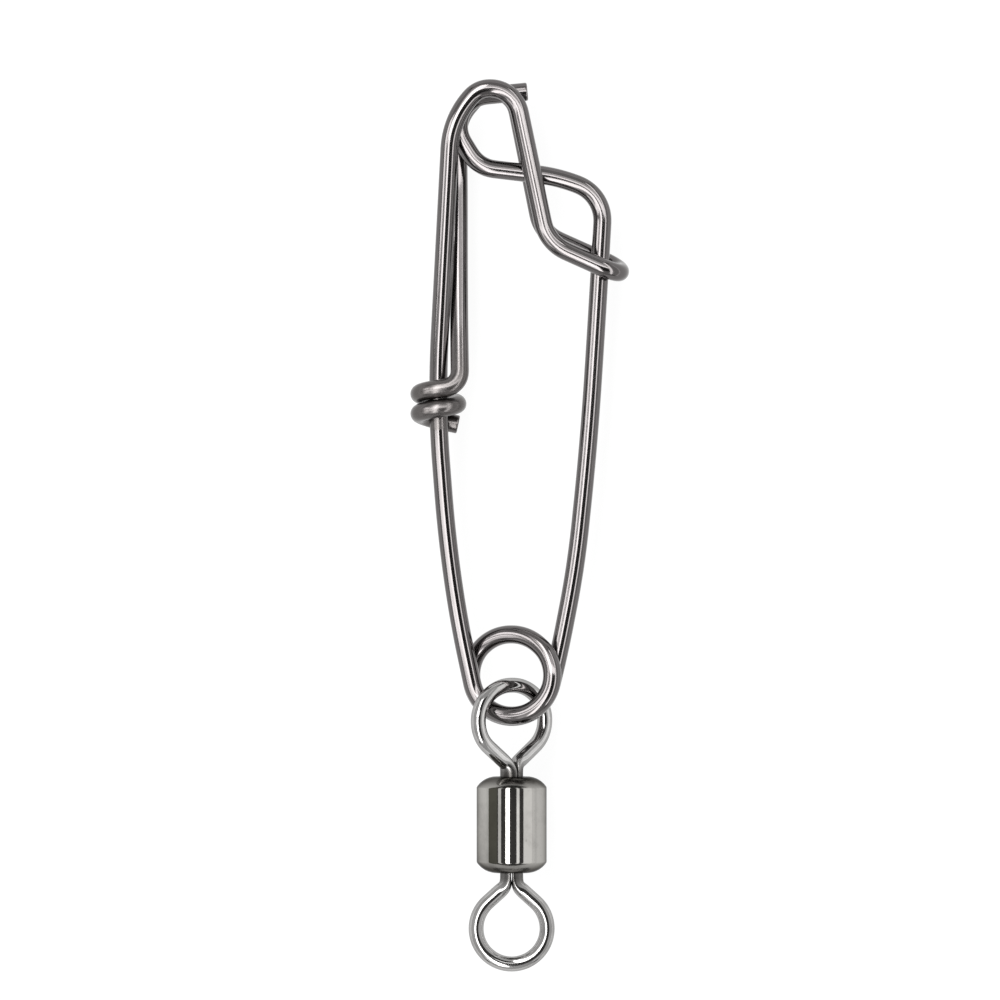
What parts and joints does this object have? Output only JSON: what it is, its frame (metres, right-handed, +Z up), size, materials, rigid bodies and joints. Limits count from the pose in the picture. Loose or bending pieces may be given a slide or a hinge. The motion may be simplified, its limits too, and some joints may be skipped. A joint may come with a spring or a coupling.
{
  "type": "fishing snap swivel",
  "caption": "Longline snap clip bent from one wire, with a spring coil, a hooked catch and a wrapped tail, and a rolling barrel swivel linked in its coil.",
  "frame": {"origin": "on the surface that the part lies on, under the middle of the whole part", "axes": "+X across the clip, from its wrapped leg to its catch; +Y along the part, from the swivel to the arch; +Z up from the surface"},
  "size_m": [0.0394, 0.1606, 0.0126],
  "materials": {
    "clip_wire": "polished stainless spring wire",
    "eye_wire": "polished stainless wire",
    "barrel_shell": "bright nickel plate"
  },
  "bodies": {
    "snap": {"snap_wire": "clip_wire"},
    "upper_eye": {"upper_eye": "eye_wire"},
    "barrel": {"swivel_barrel": "barrel_shell"},
    "lower_eye": {"lower_eye": "eye_wire"}
  },
  "joints": [
    {"name": "link_swing", "type": "hinge", "parent": "snap", "child": "upper_eye", "pos_m": [-0.00148, -0.02687, 0.00632], "axis": [-0.4222, 0, 0.9065], "range_deg": [-30, 30]},
    {"name": "barrel_spin", "type": "hinge", "parent": "upper_eye", "child": "barrel", "pos_m": [-0.00148, -0.05382, 0.00632], "axis": [0, 1, 0], "continuous": true},
    {"name": "lower_eye_spin", "type": "hinge", "parent": "barrel", "child": "lower_eye", "pos_m": [-0.00148, -0.05382, 0.00632], "axis": [0, 1, 0], "continuous": true}
  ]
}
